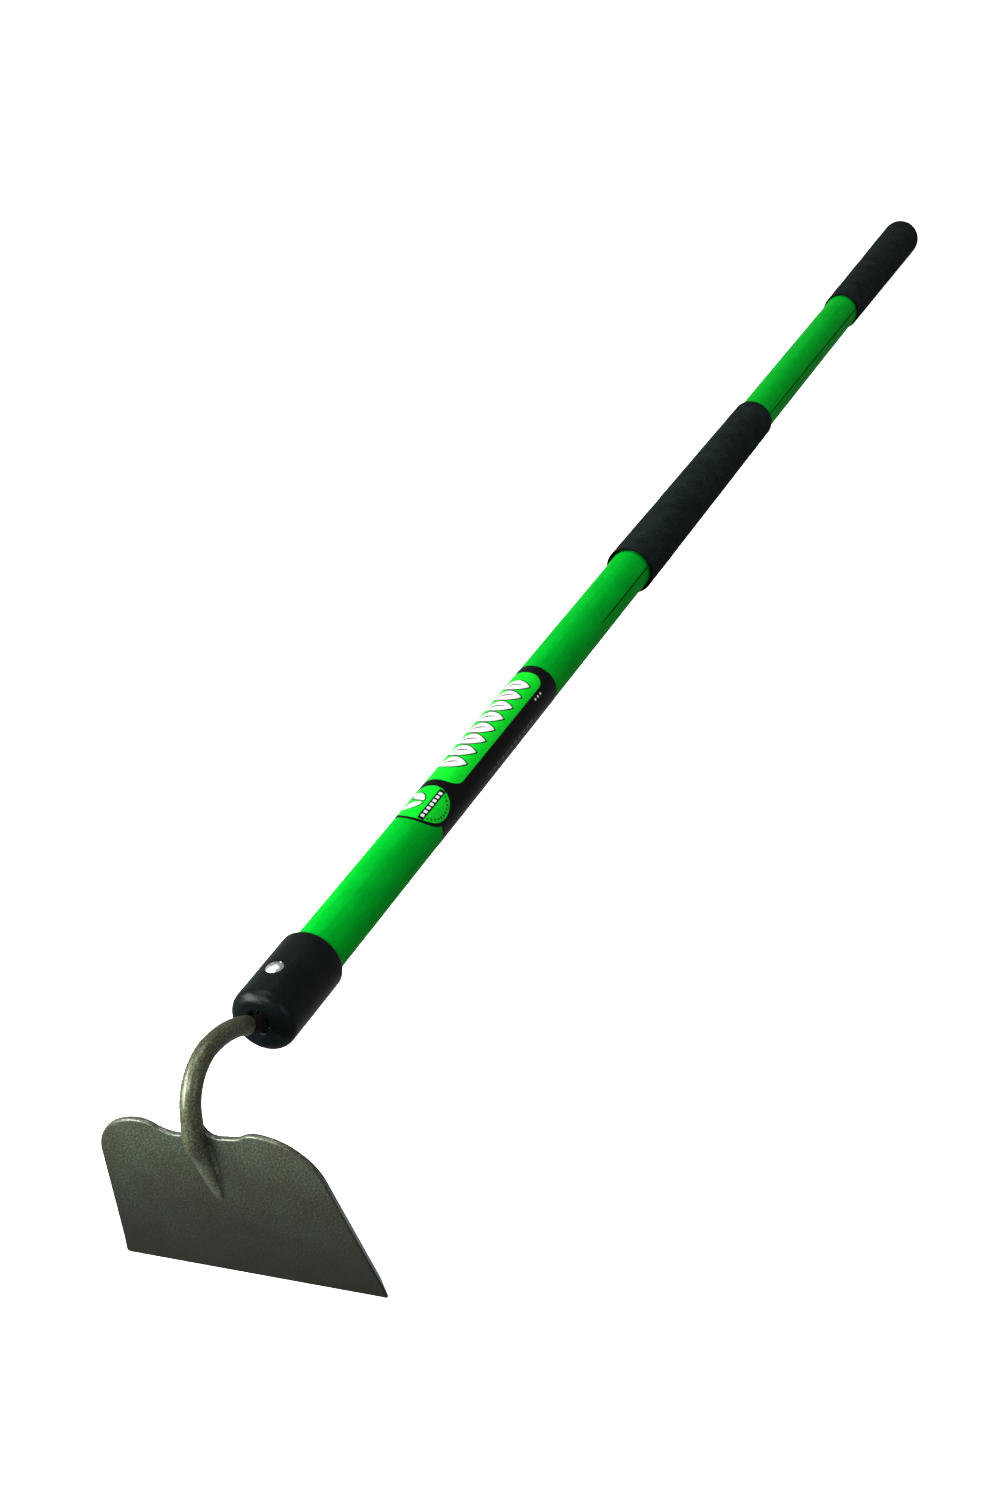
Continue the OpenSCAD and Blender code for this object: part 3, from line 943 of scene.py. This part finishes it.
def rivet_skin():
    x = rivet_place_x()
    profile = list(reversed(dome(*RIVET_TAIL, RIVET_SEAT, -1)))
    profile += [(RIVET_SHANK_R, -RIVET_SEAT), (RIVET_SHANK_R, RIVET_SEAT)]
    profile += dome(*RIVET_HEAD, RIVET_SEAT, 1)
    rings = []
    for r, z in profile:
        ring = []
        for a in even_angles(64):
            dent = 0.0
            if abs(z) > RIVET_SEAT + 0.2:
                dent = 0.16 * noise.noise(Vector((r * math.cos(a) / 1.3, r * math.sin(a) / 1.3, z / 9)))
            ring.append((x + r * math.cos(a), r * math.sin(a), z + math.copysign(min(0.0, dent), z)))
        rings.append(ring)
    return loft(rings)


# ---------------------------------------------------------------- tube

def seam_angle(x):
    """The seam winds slowly round the handle past the middle grip."""
    return SEAM_AT + SEAM_TWIST * smoothstep(handle_span("mid_grip")[1], handle_span("handle_tube")[1], x)


def seam_line_skin(start, end):
    """The dark strip of painted shade in the bottom of the seam between two places; it thins out where it
    starts.
    """
    radius = handle_span("handle_tube")[2]
    rings = []
    count = 60
    for i in range(count + 1):
        x = mix(start, end, i / count)
        half = max(0.04, SEAM_LINE / 2 * smoothstep(start, start + 30, x)) / radius
        high = radius - SEAM_DEPTH * 0.35
        corners = [(high, -half), (high, half), (high - 0.5, half), (high - 0.5, -half)]
        centre = seam_angle(x)
        rings.append([(x, -r * math.sin(centre + a), r * math.cos(centre + a)) for r, a in corners])
    return loft(rings)


def tube_skin():
    start, end, radius = handle_span("handle_tube")
    label_end = handle_span("label")[1]
    half = SEAM_WIDTH / 2 / radius
    near_seam = [-3 * half, -1.2 * half, -0.5 * half, 0, 0.5 * half, 1.2 * half, 3 * half]
    rest = [4 * half + (2 * math.pi - 8 * half) * i / 88 for i in range(89)]
    offsets = near_seam + rest
    shown_from, shown_fully = (label_end + past for past in SEAM_OPENS)
    count = 150
    stations = [mix(start, end, i / count) for i in range(count + 1)]

    def ring(x, r, groove):
        centre = seam_angle(x)
        depth = SEAM_DEPTH * smoothstep(shown_from, shown_fully, x) if groove else 0.0
        points = []
        for offset in offsets:
            dip = depth * max(0.0, 1 - (abs(offset) / half) ** 2) if abs(offset) < half else 0.0
            a = centre + offset
            points.append((x, -(r - dip) * math.sin(a), (r - dip) * math.cos(a)))
        return points

    rings = [ring(x, radius, True) for x in stations]
    rings += [ring(x, radius - TUBE_WALL, False) for x in (end, mix(start, end, 0.5), start)]
    return loft(rings, closed=True)


# ---------------------------------------------------------------- label

def wrapped_skin(outline, start_x, radius, thickness, strip=1.0):
    """A thin sheet with the given outline, wrapped round the handle.
    The outline's points are (along the handle from start_x, round the handle from the top)."""
    flat = bmesh.new()
    flat.faces.new([flat.verts.new((s, t, 0)) for s, t in outline])
    low = min(t for _, t in outline)
    high = max(t for _, t in outline)
    for k in range(1, math.ceil((high - low) / strip)):
        every = flat.verts[:] + flat.edges[:] + flat.faces[:]
        fold = (0, low + k * strip, 0)
        bmesh.ops.bisect_plane(flat, geom=every, dist=1e-6, plane_co=fold, plane_no=(0, 1, 0))
    flat.verts.index_update()
    count = len(flat.verts)

    def bent(s, t, r):
        return (start_x + s, -r * math.sin(t / radius), r * math.cos(t / radius))

    verts = [bent(v.co.x, v.co.y, radius + thickness) for v in flat.verts]
    verts += [bent(v.co.x, v.co.y, radius) for v in flat.verts]
    faces = [tuple(v.index for v in f.verts) for f in flat.faces]
    faces += [tuple(count + i for i in reversed(f)) for f in faces]
    for edge in flat.edges:
        if edge.is_boundary:
            a, b = (v.index for v in edge.verts)
            faces.append((a, b, count + b, count + a))
    flat.free()
    return verts, faces


def joined(*skins):
    verts, faces = [], []
    for more_verts, more_faces in skins:
        first = len(verts)
        verts += more_verts
        faces += [tuple(first + i for i in f) for f in more_faces]
    return verts, faces


def rounded_box(low, high, radius, steps=8):
    """A rectangle with round corners, from its low corner to its high corner."""
    corners = [(high[0], low[1], -90), (high[0], high[1], 0), (low[0], high[1], 90), (low[0], low[1], 180)]
    points = []
    for x, y, start in corners:
        centre = (x - math.copysign(radius, x - low[0] - 1e-6),
                  y - math.copysign(radius, y - low[1] - 1e-6))
        points += arc(centre, (radius, radius), start, start + 90, steps)
    return points


def film_outline(length, half_round):
    """The film: straight far edge, and a near edge that swells round the badge."""
    badge_x, badge_y = BADGE_AT
    swell_r = BADGE_R + BADGE_MARGIN
    reach = math.degrees(math.asin(min(1.0, (badge_x - FILM_STEP) / swell_r)))
    near = arc((badge_x, badge_y), (swell_r, swell_r), 180 + 90 - reach, 180 - 90 + reach, 40)
    low, high = badge_y - half_round, badge_y + half_round
    corner = 4.0
    points = [(FILM_STEP, mix(near[0][1], low + corner, k / 4)) for k in range(4, 0, -1)]
    points = arc((FILM_STEP + corner, low + corner), (corner, corner), 270, 180, 6) + points[1:]
    points += near
    points += [(FILM_STEP, mix(near[-1][1], high - corner, k / 4)) for k in range(1, 4)]
    points += arc((FILM_STEP + corner, high - corner), (corner, corner), 180, 90, 6)
    points += [(length, high), (length, low)]
    return points


def leaf(x, y, length, width, lean):
    """A pointed leaf standing across the handle, leaning by an angle in degrees."""
    turn = math.radians(lean)
    side = [(width / 2 * math.sin(math.pi * i / 14) ** 0.85, length * (i / 14 - 0.5)) for i in range(15)]
    points = side + [(-a, b) for a, b in reversed(side[1:-1])]
    return [(x + a * math.cos(turn) - b * math.sin(turn), y + a * math.sin(turn) + b * math.cos(turn))
            for a, b in points]


def disc(x, y, radius, count=48):
    return [(x + radius * math.cos(a), y + radius * math.sin(a)) for a in even_angles(count)]


def label_pieces(inks):
    start, end, _ = handle_span("label")
    tube_r = handle_span("handle_tube")[2]
    length = end - start
    base = tube_r + FILM_T
    half_round = math.pi * tube_r - 1.0

    def printed(outline, layer):
        return wrapped_skin(outline, start, base + layer * PRINT_T, PRINT_T)

    film_skin = wrapped_skin(film_outline(length, half_round), start, tube_r, FILM_T)
    add_piece("label_film", film_skin, HANDLE, inks["black"], ["label"])

    panel_far = length - PANEL_END
    panel = rounded_box((panel_far - PANEL_LEN, PANEL_EDGES[0]), (panel_far, PANEL_EDGES[1]), PANEL_CORNER)
    greens = [printed(panel, 0), printed(disc(*BADGE_AT, BADGE_R), 0)]
    add_piece("label_green", joined(*greens), HANDLE, inks["green"])

    first_leaf, leaf_step, leaf_count = LEAF_ROW
    places = [(first_leaf + k * leaf_step, LEAF_AT) for k in range(leaf_count)]
    badge_x, badge_y = BADGE_AT
    band_y = badge_y + BAND_AT
    darks = [printed(leaf(x, y, *LEAF_BORDER, LEAF_LEAN), 1) for x, y in places]
    band = rounded_box((badge_x - BAND[0], band_y - BAND[1]), (badge_x + BAND[0], band_y + BAND[1]), 0.4, 2)
    darks.append(printed(band, 1))
    whites = [printed(leaf(x, y, *LEAF_INSIDE, LEAF_LEAN), 2) for x, y in places]
    darks += [printed(leaf(x, y - 1.5, *LEAF_RIB, LEAF_LEAN), 3) for x, y in places]
    for k in range(7):
        x = badge_x + (k - 3) * 4.1
        whites.append(printed(rounded_box((x - 1.3, band_y - 1.1), (x + 1.3, band_y + 1.1), 0.4, 2), 2))
    for lean, x in ((35, 5.0), (-35, -5.0)):
        darks.append(printed(leaf(badge_x + x, badge_y - 5.2, 15.0, 8.0, lean), 1))
        whites.append(printed(leaf(badge_x + x, badge_y - 5.2, 13.0, 6.2, lean), 2))
    for k in range(13):
        a = math.radians(25 + 130 * k / 12)
        x, y = badge_x + DOT_RING * math.cos(a), badge_y + DOT_RING * math.sin(a)
        darks.append(printed(disc(x, y, 0.7, 12), 1))
    for k in range(3):
        whites.append(printed(disc(panel_far - 12 - 4.0 * k, PANEL_EDGES[1] + 3.2, 0.9, 16), 0))
    add_piece("label_black", joined(*darks), HANDLE, inks["black"])
    add_piece("label_white", joined(*whites), HANDLE, inks["white"])

    dashes = []
    for k in range(11):
        x = length * 0.42 + 6.6 * k
        dashes.append(printed(rounded_box((x, 24.8), (x + 4.4, 27.2), 1.1, 4), 0))
    add_piece("label_grey", joined(*dashes), HANDLE, inks["grey"])


# ---------------------------------------------------------------- foam grips

def foam_shape(seed):
    """Foam is never quite round: slow swellings and a finer unevenness."""
    def shape(x, r, a):
        round_trip = Vector((x / 30, 1.2 * math.sin(a) + seed, 1.2 * math.cos(a)))
        fine = Vector((x / 3.5, 4.5 * math.sin(a) + seed, 4.5 * math.cos(a)))
        return r + 0.16 * noise.noise(round_trip) + 0.05 * noise.noise(fine)
    return shape


def grip_skin(start, end, start_r, end_r, inner_r, tip_round, seed):
    """A foam sleeve about the handle: a soft lip at its start, and at its end a lip or a round closed tip."""
    angles = even_angles(96)
    wall = start_r - inner_r
    lip_x, lip_r = FOAM_LIP[0], FOAM_LIP[1] * wall
    flare_x, flare_r = FOAM_FLARE[0], FOAM_FLARE[1] * wall
    bore = [(flare_x + 2, inner_r), (flare_x, inner_r), (flare_x * 0.5, inner_r + flare_r * 0.7),
            (0.5, inner_r + flare_r), (0.1, inner_r + flare_r + 0.12)]
    outline = [(start + x, r) for x, r in bore]
    outline += arc((start + lip_x, start_r - lip_r), (lip_x, lip_r), 180, 90, 9)
    if tip_round:
        outline += line(outline[-1], (end - tip_round, end_r), 110)
        outline += arc((end - tip_round, TIP_FLAT_R), (tip_round, end_r - TIP_FLAT_R), 90, 0, 16)
        outline += [(end, 0.05), (end - 5.0, 0.05), (end - 5.0, inner_r)]
    else:
        outline += line(outline[-1], (end - lip_x, end_r), 130)
        outline += arc((end - lip_x, end_r - lip_r), (lip_x, lip_r), 90, 0, 9)
        outline += [(end - x, r) for x, r in reversed(bore)]
    uneven = foam_shape(seed)

    def shape(x, r, a):
        return uneven(x, r, a) if r > inner_r + flare_r + 0.3 else r

    return loft(turned(outline, angles, shape), closed=True)


# ---------------------------------------------------------------- putting it together

add_camera()
add_lights()
add_backdrop(studio_paper())

# The low, high and full tints are painted shade and light by height; on the neck the colour is lightest at
# mid height.
plate_steel = lacquer("lacquered_steel", flake=1.0, patch=26.0, coat=0.35, low=(0.39, 0.40, 0.345),
                      high=(0.68, 0.72, 0.68), full=(1.08, 1.13, 1.15), edge_colour=edge_reflection_and_bare_bevel)
bar_steel = lacquer("lacquered_bar", flake=1.0, patch=11.0, coat=0.4, low=(0.62, 0.65, 0.57),
                    high=(1.38, 1.45, 1.36), full=(0.98, 0.95, 0.74))
# The bar's root is dark with painted shade and the ferrule's painted reflection near the mouth.
add_piece("tang_bar", tang_skin(), HANDLE, shaded_root_steel())
add_piece("blade_plate", blade_skin(), BLADE, plate_steel, ["blade", "neck_weld"])
add_piece("neck_bar", neck_skin(), HANDLE, bar_steel, ["gooseneck"])
ferrule = add_piece("ferrule_shell", ferrule_skin(), HANDLE, moulded_black(), ["ferrule"])
cut(ferrule, spool_skin(RIVET_SEAT, RIVET_HEAD[0] + 0.2, RIVET_SHANK_R + 0.02), HANDLE)
add_piece("rivet_turned", rivet_skin(), HANDLE, rivet_steel(), ["rivet"])
add_piece("tube_laminate", tube_skin(), HANDLE, green_fibreglass(), ["handle_tube"])

# The seam's dark strips are painted shade in its groove.
seam_shade_look = seam_shade_green()
mid_start, mid_end, mid_r = handle_span("mid_grip")
end_start, end_end, end_r = handle_span("end_grip")
seams = {
    "seam_low": (handle_span("label")[1] + SHADE_STRIP_FROM, mid_start + SHADE_STRIP_TUCK),
    "seam_high": (mid_end - SHADE_STRIP_TUCK, end_start + SHADE_STRIP_TUCK),
}
for name, (seam_from, seam_to) in seams.items():
    add_piece(name, seam_line_skin(seam_from, seam_to), HANDLE, seam_shade_look)

label_pieces({
    "black": film("label_black_ink", (0.0015, 0.0015, 0.0018), (0.0036, 0.0036, 0.0042)),
    "green": film("label_green_ink", (0.0, 0.50, 0.012), (0.004, 0.60, 0.022)),
    "white": film("label_white_ink", (0.60, 0.59, 0.61), (0.70, 0.69, 0.71)),
    "grey": film("label_grey_ink", (0.04, 0.045, 0.046), (0.075, 0.08, 0.082)),
})

bare_r = handle_span("handle_tube")[2] + FOAM_GAP
mid_grip = grip_skin(mid_start, mid_end, mid_r, mid_r + MID_TAPER, bare_r, tip_round=0, seed=1.7)
mid_piece = add_piece("mid_grip_foam", mid_grip, HANDLE, foam("mid_foam", mid_start), ["mid_grip"])
end_grip = grip_skin(end_start, end_end, end_r - END_TAPER, end_r, bare_r, tip_round=TIP_ROUND, seed=5.2)
end_piece = add_piece("end_grip_foam", end_grip, HANDLE, foam("end_foam", end_start), ["end_grip"])

core_look = core_plastic()
for hidden in ("tang_core", "top_plug"):
    for material_slot in frame["nodes"][hidden].material_slots:
        material_slot.material = core_look
